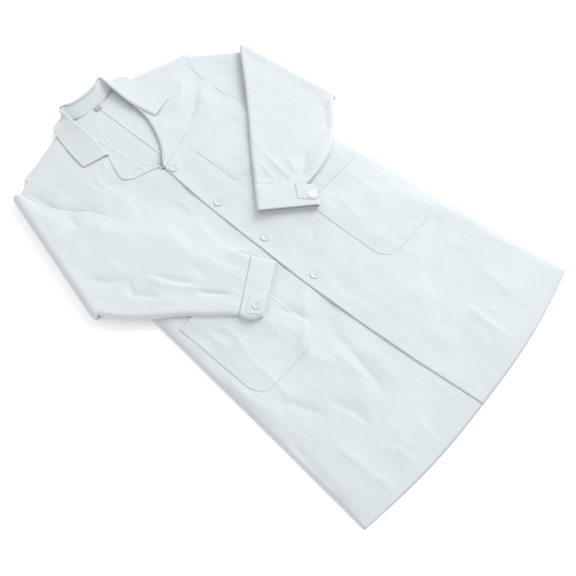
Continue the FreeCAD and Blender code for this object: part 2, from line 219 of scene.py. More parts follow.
def apply(made, kind, **settings):
    """Add a modifier and apply it."""
    modifier = made.modifiers.new(kind, kind)
    for key, value in settings.items():
        setattr(modifier, key, value)
    bpy.context.view_layer.objects.active = made
    with bpy.context.temp_override(object=made, active_object=made):
        bpy.ops.object.modifier_apply(modifier=modifier.name)


def grid(name, points, material, ring=False, thickness=CLOTH, offset=-1.0, flip=False):
    """A sheet from a grid of points in millimetres, closed round if ring is true, and given its thickness."""
    rows, columns = points.shape[:2]
    index = np.arange(rows * columns).reshape(rows, columns)
    wrap = np.concatenate([index, index[:, :1]], axis=1) if ring else index
    quads = np.stack([wrap[:-1, :-1], wrap[:-1, 1:], wrap[1:, 1:], wrap[1:, :-1]], axis=-1).reshape(-1, 4)
    if flip:
        quads = quads[:, ::-1]
    mesh = bpy.data.meshes.new(name)
    mesh.from_pydata((points.reshape(-1, 3) * MM).tolist(), [], quads.tolist())
    mesh.update()
    made = link(name, mesh, material)
    if thickness:
        apply(made, "SOLIDIFY", thickness=thickness * MM, offset=offset)
    mesh.shade_smooth()
    return made


def tubes(name, paths, radius, material, sides=6):
    """Many short round threads in one mesh, each along its own few points."""
    verts, faces = [], []
    for path in paths:
        path = np.asarray(path, float)
        ahead = np.gradient(path, axis=0)
        ahead /= np.linalg.norm(ahead, axis=1)[:, None]
        across = np.cross(ahead, [0.0, 0.0, 1.0])
        size = np.linalg.norm(across, axis=1)[:, None]
        across = np.where(size > 1e-6, across / np.maximum(size, 1e-6), [1.0, 0.0, 0.0])
        up = np.cross(across, ahead)
        first = len(verts)
        for point, a, b in zip(path, across, up):
            for k in range(sides):
                turn = 2 * math.pi * k / sides
                verts.append((point + radius * (a * math.cos(turn) + b * math.sin(turn))) * MM)
        for row in range(len(path) - 1):
            for k in range(sides):
                low, high = first + row * sides, first + (row + 1) * sides
                faces.append((low + k, low + (k + 1) % sides, high + (k + 1) % sides, high + k))
        faces.append(tuple(first + k for k in reversed(range(sides))))
        faces.append(tuple(first + (len(path) - 1) * sides + k for k in range(sides)))
    mesh = bpy.data.meshes.new(name)
    mesh.from_pydata([tuple(v) for v in verts], [], faces)
    mesh.update()
    mesh.shade_smooth()
    return link(name, mesh, material)


def stitches(name, lines, level, material, pitch=3.0, length=2.1, radius=0.15):
    """Rows of stitches along plan lines, lying on the cloth whose height is level(x, y)."""
    paths = []
    for line in lines:
        line = np.asarray(line, float)
        total = np.linalg.norm(np.diff(line, axis=0), axis=1).sum()
        for k in range(int(total / pitch)):
            ends = (np.array([0.0, 0.5, 1.0]) * length + k * pitch) / total
            plan = at(line, ends)
            z = level(*plan.T) + np.array([-0.1, 0.15, -0.1])
            paths.append(np.column_stack([plan, z]))
    return tubes(name, paths, radius, material)


def settle(piece, body, slot, *nodes):
    """A piece's body, or None to leave it unattached where it is, its material slot, which is not used, and
    the CAD nodes that it stands for.
    """
    if body:
        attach(piece, body)
    if nodes:
        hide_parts(*nodes)


# ======== materials
def new_material(name):
    made = bpy.data.materials.new(name)
    made.use_nodes = True
    nodes, links = made.node_tree.nodes, made.node_tree.links
    return made, nodes, links, nodes["Principled BSDF"]


def set_inputs(node, values):
    for name, value in values.items():
        node.inputs[name].default_value = value


def wire(links, source, out, target, into):
    links.new(source.outputs[out], target.inputs[into])


def add_node(nodes, kind, values):
    made = nodes.new(kind)
    set_inputs(made, values)
    return made


def shades(nodes, colour, darker, lighter, low=0.0, high=1.0):
    """A ramp from a darker to a lighter shade of a colour."""
    ramp = nodes.new("ShaderNodeValToRGB")
    first, last = ramp.color_ramp.elements
    first.position, last.position = low, high
    first.color = tuple(c * darker for c in colour) + (1,)
    last.color = tuple(min(c * lighter, 1) for c in colour) + (1,)
    return ramp


def cotton(name, colour, weave=1.0, roughness=0.86, pitch=0.62):
    """Plain-woven cotton: two sets of threads that pass over and under, faint slubs and a soft nap."""
    made, nodes, links, shader = new_material(name)
    place = nodes.new("ShaderNodeTexCoord")
    waves = []
    for turn in (0.0, 90.0):
        mapping = add_node(nodes, "ShaderNodeMapping", {"Rotation": (0, 0, math.radians(turn))})
        wire(links, place, "Object", mapping, "Vector")
        scale = 1 / (pitch * MM) / 20 * math.pi
        wave = add_node(nodes, "ShaderNodeTexWave", {"Scale": scale, "Distortion": 0.6, "Detail": 1.0})
        wire(links, mapping, "Vector", wave, "Vector")
        waves.append(wave)
    crossed = nodes.new("ShaderNodeMath")
    crossed.operation = "MULTIPLY"
    links.new(waves[0].outputs["Fac"], crossed.inputs[0])
    links.new(waves[1].outputs["Fac"], crossed.inputs[1])
    slub = add_node(nodes, "ShaderNodeTexNoise", {"Scale": 900, "Detail": 3})
    wire(links, place, "Object", slub, "Vector")
    bump = add_node(nodes, "ShaderNodeBump", {"Strength": 0.16 * weave, "Distance": 0.0002})
    links.new(crossed.outputs[0], bump.inputs["Height"])
    nap = add_node(nodes, "ShaderNodeBump", {"Strength": 0.10 * weave, "Distance": 0.0003})
    wire(links, slub, "Fac", nap, "Height")
    wire(links, bump, "Normal", nap, "Normal")
    wire(links, nap, "Normal", shader, "Normal")
    patch = add_node(nodes, "ShaderNodeTexNoise", {"Scale": 9, "Detail": 4})
    wire(links, place, "Object", patch, "Vector")
    ramp = shades(nodes, colour, 0.975, 1.015, 0.3, 0.7)
    wire(links, patch, "Fac", ramp, "Fac")
    wire(links, ramp, "Color", shader, "Base Color")
    set_inputs(shader, {"Roughness": roughness, "Sheen Weight": 0.12, "Sheen Roughness": 0.5,
                        "Specular IOR Level": 0.2})
    return made


def plastic(name, colour, roughness, cloudy):
    """Cast button plastic, a little cloudy and with light coming through it."""
    made, nodes, links, shader = new_material(name)
    place = nodes.new("ShaderNodeTexCoord")
    cloud = add_node(nodes, "ShaderNodeTexNoise", {"Scale": 140, "Detail": 3, "Distortion": 1.2})
    wire(links, place, "Object", cloud, "Vector")
    ramp = shades(nodes, colour, 1 - cloudy, 1 + cloudy)
    wire(links, cloud, "Fac", ramp, "Fac")
    wire(links, ramp, "Color", shader, "Base Color")
    rough = add_node(nodes, "ShaderNodeMapRange", {"To Min": roughness, "To Max": roughness + 0.12})
    wire(links, cloud, "Fac", rough, "Value")
    wire(links, rough, "Result", shader, "Roughness")
    set_inputs(shader, {"Subsurface Weight": 0.25, "Subsurface Radius": (0.002, 0.002, 0.002)})
    return made


COAT_WHITE = (0.612, 0.653, 0.676)
COTTON = cotton("coat_cotton", COAT_WHITE)
INSIDE = cotton("coat_inside", COAT_WHITE, weave=1.2)
THREAD = cotton("sewing_thread", (0.608, 0.648, 0.671), weave=0.3, roughness=0.7, pitch=0.2)
LABEL = cotton("woven_label", (0.40, 0.42, 0.44), weave=1.4, pitch=0.4)
BUTTON = plastic("front_button_plastic", (0.60, 0.645, 0.635), 0.3, 0.06)
CUFF_BUTTON = plastic("cuff_button_plastic", (0.86, 0.88, 0.88), 0.2, 0.03)


# ======== plan of the coat, on the wearer's left
SHOULDER = (238, -34)
ARMPIT = (274, -250)
WAIST = (282, -450)
HEM_CORNER = (HEM_HALF, -994)
HEM_BOW = 9             # how far the hem curves down between its corners
NECK_SHIFT = -10        # the neck lies a little to the wearer's right


def neck(side):
    return (side * 66 + NECK_SHIFT, NECK_Y)


def roll_top(side):
    return (side * 60 + NECK_SHIFT, -58)


BREAK = (-25, -236)
ARMHOLE_CURVE = bend([SHOULDER, (216, -78), (208, -140), (212, -196), (232, -232), ARMPIT])
SIDE_CURVE = bend([ARMPIT, (280, -350), WAIST, (292, -620), (305, -820), HEM_CORNER])
LEFT_EDGE = bend([(-25, -236), (-30, -300), (-34, -390), (-37, -520), (-38, -672), (-31, -850), (-24, -950),
                  (-15, -1021)])
RIGHT_EDGE = np.array([(-25, -236), (UNDERLAP, -286), (UNDERLAP, -1021)])
EDGE = {LEFT: LEFT_EDGE, RIGHT: RIGHT_EDGE}


def side_line(side):
    return mirror(SIDE_CURVE.tolist(), side)


def armhole(side):
    return mirror(ARMHOLE_CURVE.tolist(), side)


def shoulder_line(side):
    return [neck(side), mirror([SHOULDER], side)[0]]


def roll_line(side):
    """Where the lapel turns back, from the neck down to the top button."""
    bow = {LEFT: [(46, -112), (18, -180)], RIGHT: [(-62, -112), (-46, -180)]}[side]
    return bend([neck(side), roll_top(side)] + bow + [BREAK])


ROLL_STOPS = [0, 0.28, 0.62]     # where along the roll line the shoulder ends, and the armhole


def front_plan(side):
    """The plan of a front, from its edge out to the armhole and the side, as a grid of points."""
    roll = roll_line(side)
    outer = [shoulder_line(side), armhole(side), side_line(side)]
    rows = [int(70 / STEP) * 2, int(200 / STEP), int(760 / STEP)]
    blocks = []
    for part, count in enumerate(rows):
        t = np.linspace(0, 1, count, endpoint=part == 2)
        if part < 2:
            a = at(roll, ROLL_STOPS[part] + t * (ROLL_STOPS[part + 1] - ROLL_STOPS[part]))
        else:
            rest = np.vstack([at(roll, np.linspace(ROLL_STOPS[2], 1, 20)), EDGE[side][1:]])
            a = at(rest, t)
        b = at(outer[part], t)
        blocks.append((a, b))
    a, b = (np.vstack([block[k] for block in blocks]) for k in (0, 1))
    u = np.linspace(0, 1, int(330 / STEP))[None, :, None]
    plan = a[:, None, :] * (1 - u) + b[:, None, :] * u
    low = smooth((-plan[..., 1] - 780) / 220)
    plan[..., 1] -= HEM_BOW * low * np.sin(np.pi * u[..., 0])
    return plan


# ======== heights of the body
FRONT_FOLDS = {
    LEFT: [
        ([(65, -204), (135, -164), (195, -119), (225, -74)], -5.0, 20, 9),
        ([(90, -150), (140, -118), (185, -75)], 3.2, 18, 13),
        ([(150, -178), (178, -150), (214, -128)], 2.4, 12, 9),
        ([(206, -60), (207, -150), (209, -226)], 0.9, 14, 8),
        ([(50, -374), (20, -396), (-5, -424)], -1.8, 14, 18),
        ([(20, -545), (0, -590), (-20, -625)], -2.2, 10, 16),
        ([(78, -545), (52, -578), (28, -596)], -1.8, 10, 14),
        ([(275, -724), (215, -754), (135, -794), (105, -834)], -3.8, 16, 26),
        ([(123, -890), (121, -950), (121, -1012)], 1.9, 3.5, 14, 0.1),
        ([(100, -835), (72, -870), (50, -905)], -1.6, 14, 14),
        ([(235, -640), (258, -700), (262, -760)], 1.6, 20, 14),
        ([(53, -735), (53, -805)], 1.2, 10, 10),
        ([(200, -850), (215, -930), (210, -1000)], 1.0, 18, 14),
    ],
    RIGHT: [
        ([(-175, -754), (-125, -704), (-65, -654), (-42, -634)], 3.4, 14, 12),
        ([(-58, -690), (-92, -760), (-125, -790)], -2.0, 14, 14),
        ([(-75, -734), (-95, -804), (-105, -854), (-125, -889)], -3.8, 9, 12),
        ([(-105, -745), (-112, -800), (-116, -850)], 2.2, 8, 10),
        ([(-255, -734), (-235, -774), (-210, -834)], -3.0, 9, 12),
        ([(-190, -804), (-175, -864), (-182, -905)], -2.6, 8, 10),
        ([(-245, -864), (-242, -930), (-240, -1000)], 2.0, 7, 9),
        ([(-178, -950), (-180, -985), (-184, -1012)], 2.2, 4, 7, 0.15),
        ([(-118, -950), (-120, -985), (-123, -1016)], 2.2, 4, 7, 0.15),
        ([(-236, -955), (-238, -985), (-240, -1008)], 2.0, 4, 7, 0.15),
        ([(-238, -556), (-232, -625)], 1.9, 5, 6),
        ([(-208, -556), (-208, -634)], 1.7, 5, 7),
        ([(-262, -556), (-262, -605)], 1.5, 5, 6),
        ([(-118, -620), (-98, -664), (-92, -700)], -2.8, 8, 8),
        ([(-150, -640), (-148, -700)], 1.5, 7, 8),
        ([(-280, -780), (-296, -860), (-300, -930)], -2.4, 8, 6),
        ([(-175, -240), (-128, -261)], 2.6, 12, 18),
        ([(-185, -147), (-140, -175), (-99, -197)], -2.0, 14, 14),
        ([(-150, -110), (-165, -180), (-150, -230)], 1.5, 20, 22),
        ([(-90, -230), (-75, -330), (-60, -430)], -1.3, 22, 20),
        ([(-205, -70), (-190, -120), (-196, -160)], 1.8, 12, 12),
    ],
}
SIDE_ROLL = {LEFT: 30, RIGHT: 22}       # how wide the front's rounded side is
SIDE_LOW = 2.2          # the height of a front at its side and shoulder
HOLE_LEVEL = 8.6        # its height at the armhole, on top of the sleeve
CRUMPLE = {LEFT: (11, 1.1), RIGHT: (43, 1.55)}      # the seed and the size of the small creases
HEM_DEPTH = 21          # how deep the hem is turned up
FACING_WIDTH = 66
HEM_LOW = {LEFT: 3.9, RIGHT: 2.6}       # the height of a front at its hem
# Where the left edge gapes between its buttons: the middle of the gap, its reach and its height
GAPES = [(-312, 26, 2.4), (-440, 20, 1.2), (-568, 22, 1.4), (-705, 40, 2.2), (-850, 60, 0.8)]
UNDER_ARM = {LEFT: 3.6, RIGHT: 4.4}     # how far the cloth stands up beneath each forearm


def arm_outline(side):
    """The outline of a forearm and its cuff."""
    return np.array(list(INNER_EDGE[side]) + list(MOUTH[side]) + list(OUTER_EDGE[side])[::-1], float)


def front_level(side, x, y):
    """The height of the outside of a front."""
    x, y = np.asarray(x, float), np.asarray(y, float)
    top = TOP[side] - 0.3
    gap_side = distance(x, y, side_line(side))
    gap_shoulder = distance(x, y, shoulder_line(side))
    gap_hole = distance(x, y, armhole(side))
    z = top + folds(x, y, FRONT_FOLDS[side]) + rumple(x, y, *CRUMPLE[side])
    outline = arm_outline(side)
    depth = distance(x, y, np.vstack([outline, outline[:1]]))
    depth = np.where(within(x, y, outline), depth, -depth)
    beneath = UNDER_ARM[side] * smooth((depth + 45) / 60)
    if side == RIGHT:
        beneath = beneath * smooth((-x - 45) / 50)
    z = z + beneath
    z = np.minimum(z, np.where(depth > -12, FOREARM_LOW[side] - 1.3, top + 3.4))
    wide = SIDE_ROLL[side] + 6 * noise(x * 0, y, 90, 25 + side)
    z = SIDE_LOW + (z - SIDE_LOW) * edge_roll(gap_side, wide)
    z = SIDE_LOW + (z - SIDE_LOW) * edge_roll(gap_shoulder, 18)
    z = HOLE_LEVEL + (z - HOLE_LEVEL) * (0.04 + 0.96 * smooth(gap_hole / 55))
    z = z + 0.3 * bell((gap_hole - 6) / 2.5)
    hem_gap = distance(x, y, hem_line(side))
    near_hem = np.clip(hem_gap / 85, 0, 1)
    z = HEM_LOW[side] + (z - HEM_LOW[side]) * np.where(z > HEM_LOW[side], 1 - (1 - near_hem) ** 2, 1)
    z = z + 0.45 * smooth((HEM_DEPTH - hem_gap) / 2.5) - 0.3 * bell((hem_gap - HEM_DEPTH) / 1.8)
    z = z + 0.35 * noise(x, y * 0, 6, 77) * bell((hem_gap - HEM_DEPTH) / 9)
    gap_edge = distance(x, y, EDGE[side])
    z = z - 0.2 * bell((gap_edge - 8) / 1.4)
    if side == LEFT:
        gape = sum(high * bell((y - at_y) / long) for at_y, long, high in GAPES)
        lies = front_level(RIGHT, x, y) + 1.25 + gape * np.exp(-gap_edge / 14)
        part = smooth((75 - gap_edge) / 55) * smooth((-y - 225) / 40)
        z = z * (1 - part) + np.maximum(lies, HEM_LOW[LEFT] - 1.2) * part
    return z


def hem_line(side):
    """The lower edge of a front."""
    start = EDGE[side][-1]
    end = np.array(mirror([HEM_CORNER], side)[0])
    u = shares(14)
    line = start + (end - start) * u[:, None]
    line[:, 1] -= HEM_BOW * np.sin(np.pi * u)
    return line


def with_level(plan, level):
    """A plan grid given its heights."""
    return np.dstack([plan, level(plan[..., 0], plan[..., 1])])


def corner_blend(piece):
    """A piece of the left front, baked into place; the hinge of the skirt's corner is looked up, but nothing
    turns with it.
    """
    pivot, axis = hinge("left_corner_fold")
    out = np.array([axis[1], -axis[0]])
    corner = LEFT_EDGE[-1] - pivot[:2]
    out = out * np.sign(corner @ out)
    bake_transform(piece)


def settle_front(piece, side, slot, *nodes):
    """The same for a piece of a front; the left one's pieces are baked in place and given no body."""
    if side == LEFT:
        corner_blend(piece)
    settle(piece, None if side == LEFT else ROOT, slot, *nodes)


def fronts():
    """The two fronts, with what is sewn to them."""
    for side, name in SIDE_NAME.items():
        plan = front_plan(side)

        def level(x, y, side=side):
            return front_level(side, x, y)

        cloth = grid(f"{name}_front", with_level(plan, level), COTTON, flip=side == RIGHT)
        extra = ["left_front_corner"] if side == LEFT else []
        settle_front(cloth, side, "coat_cotton", f"{name}_front_panel", *extra)
        under_strips(side, name, level)
        edge_stitches(side, name, level)


def under_strips(side, name, level):
    """The facing behind the front edge and the turned-up hem, both on the inside of the front."""
    inner = at(EDGE[side][1 if side == RIGHT else 0:], shares(200))
    width = FACING_WIDTH * side
    u = np.linspace(0.02, 1, 16)
    plan = np.stack([inner + [width * w, 1.5] for w in u], axis=1)
    points = with_level(plan, lambda x, y: level(x, y) - CLOTH - 0.35)
    facing = grid(f"{name}_facing_cloth", points, INSIDE, flip=side == RIGHT)
    extra = ["left_corner_facing"] if side == LEFT else []
    settle_front(facing, side, "coat_cotton", f"{name}_front_facing", *extra)
    hem = hem_line(side)
    line = at(hem, np.linspace(0.01, 0.975, 110))
    rise = np.linspace(1.0, HEM_DEPTH, 8)
    plan = np.stack([line + [0, r] for r in rise], axis=1)
    points = with_level(plan, lambda x, y: level(x, y) - CLOTH - 0.45)
    turned = grid(f"{name}_hem_cloth", points, INSIDE, flip=side == LEFT)
    settle_front(turned, side, "coat_cotton", f"{name}_front_hem")


def inward(line, gap, side):
    """A line moved sideways by gap."""
    line = np.asarray(line, float)
    ahead = np.gradient(line, axis=0)
    ahead /= np.linalg.norm(ahead, axis=1)[:, None]
    return line + gap * side * np.stack([-ahead[:, 1], ahead[:, 0]], axis=-1)


def edge_stitches(side, name, level):
    """The rows of stitches along the front edge, the hem and the shoulder."""
    edge = at(EDGE[side][1 if side == RIGHT else 0:], shares(60))
    hem = hem_line(side)
    rows = [inward(edge, 8, side), inward(at(hem, np.linspace(0.02, 0.97, 60)), HEM_DEPTH, side)]
    rows.append(inward(at(side_line(side), np.linspace(0.01, 0.98, 60)), 5, -side))
    rows.append(inward(at(shoulder_line(side), np.linspace(0.35, 0.97, 20)), 5, -side))
    rows.append(inward(at(armhole(side), np.linspace(0.02, 0.98, 40)), 5, -side))
    sewn = stitches(f"{name}_front_stitching", rows, level, THREAD)
    settle_front(sewn, side, "thread")


def backs():
    """The two halves of the back, their hems and the seam down the middle."""
    for side, name in SIDE_NAME.items():
        outer = np.vstack([shoulder_line(side), armhole(side)[1:], side_line(side)[1:]])
        rows = 240
        t = shares(rows)
        b = at(outer, t)
        a = np.stack([np.zeros(rows), np.interp(t, [0, 0.14, 1], [2, -60, HEM_Y + 1])], axis=-1)
        u = shares(56)[None, :, None]
        plan = a[:, None, :] * (1 - u) + b[:, None, :] * u
        plan[..., 1] -= HEM_BOW * smooth((-plan[..., 1] - 780) / 220) * np.sin(np.pi * u[..., 0])
        piece = grid(f"{name}_back", with_level(plan, back_level), INSIDE, flip=side == RIGHT)
        settle(piece, ROOT, "coat_cotton", f"{name}_back_panel", f"{name}_side_seam", f"{name}_shoulder_seam")
        line = hem_line(side)
        line = at(np.vstack([[0, HEM_Y + 1], line[3:]]), np.linspace(0.01, 0.97, 100))
        plan = np.stack([line + [0, r] for r in np.linspace(1, HEM_DEPTH, 6)], axis=1)
        turned = grid(f"{name}_back_hem_cloth", with_level(plan, lambda x, y: back_level(x, y) + 0.6), INSIDE,
                      flip=side == LEFT)
        settle(turned, ROOT, "coat_cotton", f"{name}_back_hem")
    line = np.stack([np.zeros(200), np.linspace(0, HEM_Y + 22, 200)], axis=-1)
    plan = np.stack([line + [w, 0] for w in np.linspace(-4.5, 4.5, 9)], axis=1)
    seam = grid("centre_back_seam_cloth", with_level(plan, lambda x, y: back_level(x, y) + 0.75), INSIDE)
    settle(seam, ROOT, "coat_cotton", "centre_back_seam")


def back_level(x, y):
    """The inside of the back, which rises a little where the open neck leaves it free."""
    across = smooth((102 - np.abs(x + 8)) / 34)
    rise = 6.6 * across * smooth((y + 245) / 70) * smooth((34 - y) / 40)
    waves = 0.5 * noise(x, y, 40, 3) + 0.9 * creased(x + 9, y * 0.5, 55, 4)
    return 0.75 + rise + waves * rise / 6.6


# ======== collar and lapels
LAPEL_PLY = 1.05
COLLAR_PLY = 1.15
LAPEL_EDGE = [(54, -106), (71, -123), (92, -180), (88, -195), (75, -205), (48, -213), (20, -222)]


def lapels():
    """The top of each front, turned out along the roll line and lying on the chest."""
    for side, name in SIDE_NAME.items():
        roll = at(roll_line(side), np.linspace(0.30, 0.985, 70))
        edge = bend(mirror(LAPEL_EDGE, side), 8)
        edge = edge + [NECK_SHIFT, 0]
        edge = np.vstack([edge, [[BREAK[0] + 5 * side, BREAK[1] + 5]]])
        outer = at(edge, shares(70))
        inner = roll
        turn = [(1.6, -1.5), (2.5, -0.6), (2.7, 0.4), (2.1, 1.3), (0.8, 1.9), (-1.0, 2.1)]
        u = np.concatenate([[0.0] * len(turn), np.linspace(0.0, 1, 26)[1:]])
        across = outer - inner
        across /= np.maximum(np.linalg.norm(across, axis=1), 1e-6)[:, None]
        columns = []
        for k, w in enumerate(u):
            plan = inner * (1 - w) + outer * w
            if k < len(turn):
                out, up = turn[k]
                plan = inner - across * out
                z = front_level(side, inner[:, 0], inner[:, 1]) + up
            else:
                lift = 1.0 * (1 - w) ** 2 + 1.15
                z = front_level(side, plan[:, 0], plan[:, 1]) + lift - 0.3 * smooth((w - 0.95) / 0.05)
                z = z + 0.5 * noise(*plan.T, 30, 41)
            columns.append(np.column_stack([plan, z]))
        points = np.stack(columns, axis=1)
        cloth = grid(f"{name}_lapel_cloth", points, COTTON, thickness=LAPEL_PLY, flip=side == RIGHT)
        settle(cloth, ROOT, "coat_cotton", f"{name}_lapel")
        sewn = stitches(f"{name}_lapel_stitching", [inward(edge[10:-6], 5.5, -side)],
                        lambda x, y: front_level(side, x, y) + 1.2, THREAD)
        settle(sewn, ROOT, "thread")


def collar_stations():
    """The collar's run from end to end, each station with its neck seam, its roll line and its outer edge."""
    leaf = TOP[LEFT] + 0.6
    high = box("upper_collar")[1][2]
    half = np.array([
        [(84, -104, leaf + 1.0), (72, -120, leaf + 2.0), (125, -104, leaf + 0.4)],
        [(72, -54, leaf), (61, -57, leaf + 5), (119, -54, leaf + 0.6)],
        [(70, -4, leaf), (61, 0, leaf + 8), (110, -8, leaf + 1.5)],
        [(66, 17, 8.0), (59, 43, high - 0.8), (95, 22, leaf + 1.5)],
        [(34, 6, 6.5), (32, 36, high - 2), (34, 45, 3)],
        [(0, 3, 6), (0, 33, high - 3), (0, 42, 3)],
    ], float)
    right = half[:-1].copy()
    right[..., 0] *= -1
    whole = np.concatenate([half, right[::-1]])
    whole[..., 0] += NECK_SHIFT
    for k, (_, _, edge) in enumerate(whole):
        if k < 3 or k > 7:
            side = LEFT if k < 3 else RIGHT
            lies = float(front_level(side, edge[0], edge[1])) + (0.95 if side == LEFT else 1.5)
            whole[k, 2, 2] = lies
            whole[k, 1, 2] += 0.8 * (lies - leaf)
    return whole


def collar():
    """The stand that rises from the neck seam and the fall that turns over it."""
    stations = collar_stations()
    runs = [bend(stations[:, k], 10) for k in range(3)]
    count = 130
    seam, roll, edge = (at(run, shares(count)) for run in runs)
    stand = []
    for w in shares(12):
        bow = np.array([0, 0, 1.0]) * math.sin(math.pi * w) * -0.8
        stand.append(seam * (1 - w) + roll * w + bow - np.array([0, 0, 1.2]) * w)
    inner = grid("collar_stand_cloth", np.stack(stand, axis=1), COTTON, thickness=1.0, flip=True)
    fall = []
    out = edge - roll
    out[:, 2] = 0
    out /= np.maximum(np.linalg.norm(out, axis=1), 1e-6)[:, None]
    for dx, dz in [(-1.6, -2.6), (-2.4, -1.2), (-2.2, 0.3), (-1.0, 1.3), (1.0, 1.6)]:
        fall.append(roll + out * dx + np.array([0, 0, dz]))
    for w in np.linspace(0.08, 1, 22):
        point = roll * (1 - w) + edge * w
        point[:, 2] = roll[:, 2] * (1 - w) ** 1.6 + edge[:, 2] * (1 - (1 - w) ** 1.6) + 1.5 * (1 - w)
        point[:, 2] += 0.5 * noise(point[:, 0], point[:, 1], 26, 9) * math.sin(math.pi * w)
        fall.append(point)
    outer = grid("collar_fall_cloth", np.stack(fall, axis=1), COTTON, thickness=COLLAR_PLY, flip=True)
    settle(inner, ROOT, "coat_cotton", "collar_stand")
    settle(outer, ROOT, "coat_cotton", "upper_collar", "under_collar", "collar_interlining")


def neck_label():
    """The blank label sewn inside the back of the neck."""
    low, high = box("neck_label")
    xs, ys = np.linspace(low[0], high[0], 12), np.linspace(low[1], high[1], 9)
    gx, gy = np.meshgrid(xs, ys, indexing="ij")
    z = back_level(gx, gy) + 1.5 + 0.4 * np.sin((gx - xs[0]) / (xs[-1] - xs[0]) * math.pi)
    label = grid("woven_neck_label", np.dstack([gx, gy, z]), LABEL, thickness=0.4)
    settle(label, ROOT, "label", "neck_label")


# ======== sleeves
# Each sleeve's edges beyond its crease: the inner edge, towards the coat's front, and the outer one.
INNER_EDGE = {
    LEFT: [(327, -124), (298, -157), (240, -222), (175, -292), (118, -350), (61, -412)],
    RIGHT: [(-271, -60), (-258, -104), (-240, -150), (-224, -176), (-200, -205), (-182, -245), (-150, -284),
            (-122, -318), (-112, -350), (-113, -395), (-98, -432), (-84, -470), (-68, -519)],
}
OUTER_EDGE = {
    LEFT: [(349, -384), (325, -404), (298, -428), (269, -447), (230, -472), (180, -486), (130, -491)],
    RIGHT: [(-344, -388), (-322, -425), (-290, -462), (-243, -508), (-210, -548), (-174, -586)],
}
MOUTH = {LEFT: [(17, -461), (108, -544)], RIGHT: [(-45, -564), (-146, -620)]}
ROUND_EDGE = 9          # how wide the rolled edges of a flattened sleeve are
SLEEVE_HALF = 4.5       # half of the height of a flattened sleeve
CUFF_CORE = 4.1         # half of the height inside a cuff
CUFF_HALF = CUFF_CORE + 0.3
CUFF_PLY = 1.5          # its band is two plies with an interlining between them

# Folds on top of each forearm: a line, its height and its widths
ARM_FOLDS = {
    LEFT: [
        ([(125, -479), (170, -454), (200, -429)], -3.4, 5, 8),
        ([(134, -464), (159, -409)], 2.6, 6, 8),
        ([(118, -470), (124, -420), (132, -370)], 2.4, 4, 7),
        ([(258, -449), (285, -412), (335, -372)], -3.6, 12, 9),
        ([(150, -480), (210, -462), (250, -440)], 2.4, 6, 9),
        ([(95, -440), (104, -400), (108, -370)], 1.8, 4, 6),
        ([(80, -408), (86, -388), (104, -352)], 1.5, 4, 6),
        ([(320, -180), (300, -230), (255, -280)], 1.6, 22, 22),
        ([(330, -136), (326, -170), (318, -215)], -1.6, 8, 12),
        ([(220, -330), (260, -350), (300, -352)], -1.3, 12, 18),
    ],
    RIGHT: [
        ([(-236, -168), (-240, -195), (-244, -222)], -6.0, 13, 13),
        ([(-319, -264), (-258, -240)], 2.2, 3, 10),
        ([(-236, -262), (-201, -237)], 2.0, 3, 10),
        ([(-311, -315), (-283, -358), (-272, -365), (-254, -365)], -3.4, 7, 9),
        ([(-254, -369), (-276, -408), (-254, -437), (-244, -465)], -3.6, 7, 8),
        ([(-236, -387), (-219, -437), (-176, -508)], 3.2, 6, 9),
        ([(-226, -397), (-204, -444), (-179, -483)], -3.8, 5, 6),
        ([(-197, -487), (-176, -515), (-151, -551)], -4.2, 4, 5),
        ([(-154, -437), (-158, -494)], -2.2, 10, 9),
        ([(-247, -329), (-262, -345)], 1.8, 6, 6),
        ([(-300, -390), (-262, -440), (-215, -500)], 2.6, 8, 12),
        ([(-262, -130), (-285, -200), (-300, -250)], 1.4, 16, 14),
        ([(-120, -420), (-112, -470), (-100, -512)], -2.0, 5, 7),
    ],
}
UPPER_FOLDS = {
    LEFT: [
        ([(245, -60), (262, -110), (290, -140)], -2.4, 10, 12),
        ([(215, -95), (240, -135), (262, -170)], -2.2, 9, 9),
    ],
    RIGHT: [([(-250, -60), (-245, -110), (-236, -150)], -2.0, 8, 10)],
}


def sleeve_columns():
    """How far across the sleeve each point of its ring is, and which ply it is on: 1 is outside the bend."""
    across = (1 - np.cos(np.linspace(0, math.pi, 15))) / 2 * 0.12
    top = np.concatenate([across[:8], np.linspace(0.07, 0.93, 44), 1 - across[:8][::-1]])
    top = np.unique(np.clip(top, 0, 1))
    return np.concatenate([top, top[-2:0:-1]]), np.concatenate([np.ones(len(top)), -np.ones(len(top) - 2)])


def inner_rise(side, gap, s):
    """How the sleeve thickens from its inner edge: over a long way on the right arm, short on the left."""
    short = edge_roll(gap, ROUND_EDGE)
    if side == LEFT:
        return short
    long = 0.22 * edge_roll(gap, 3) + 0.78 * smooth(gap / 52)
    part = smooth(s / 0.08) * smooth((1 - s) / 0.12)
    return short * (1 - part) + long * part


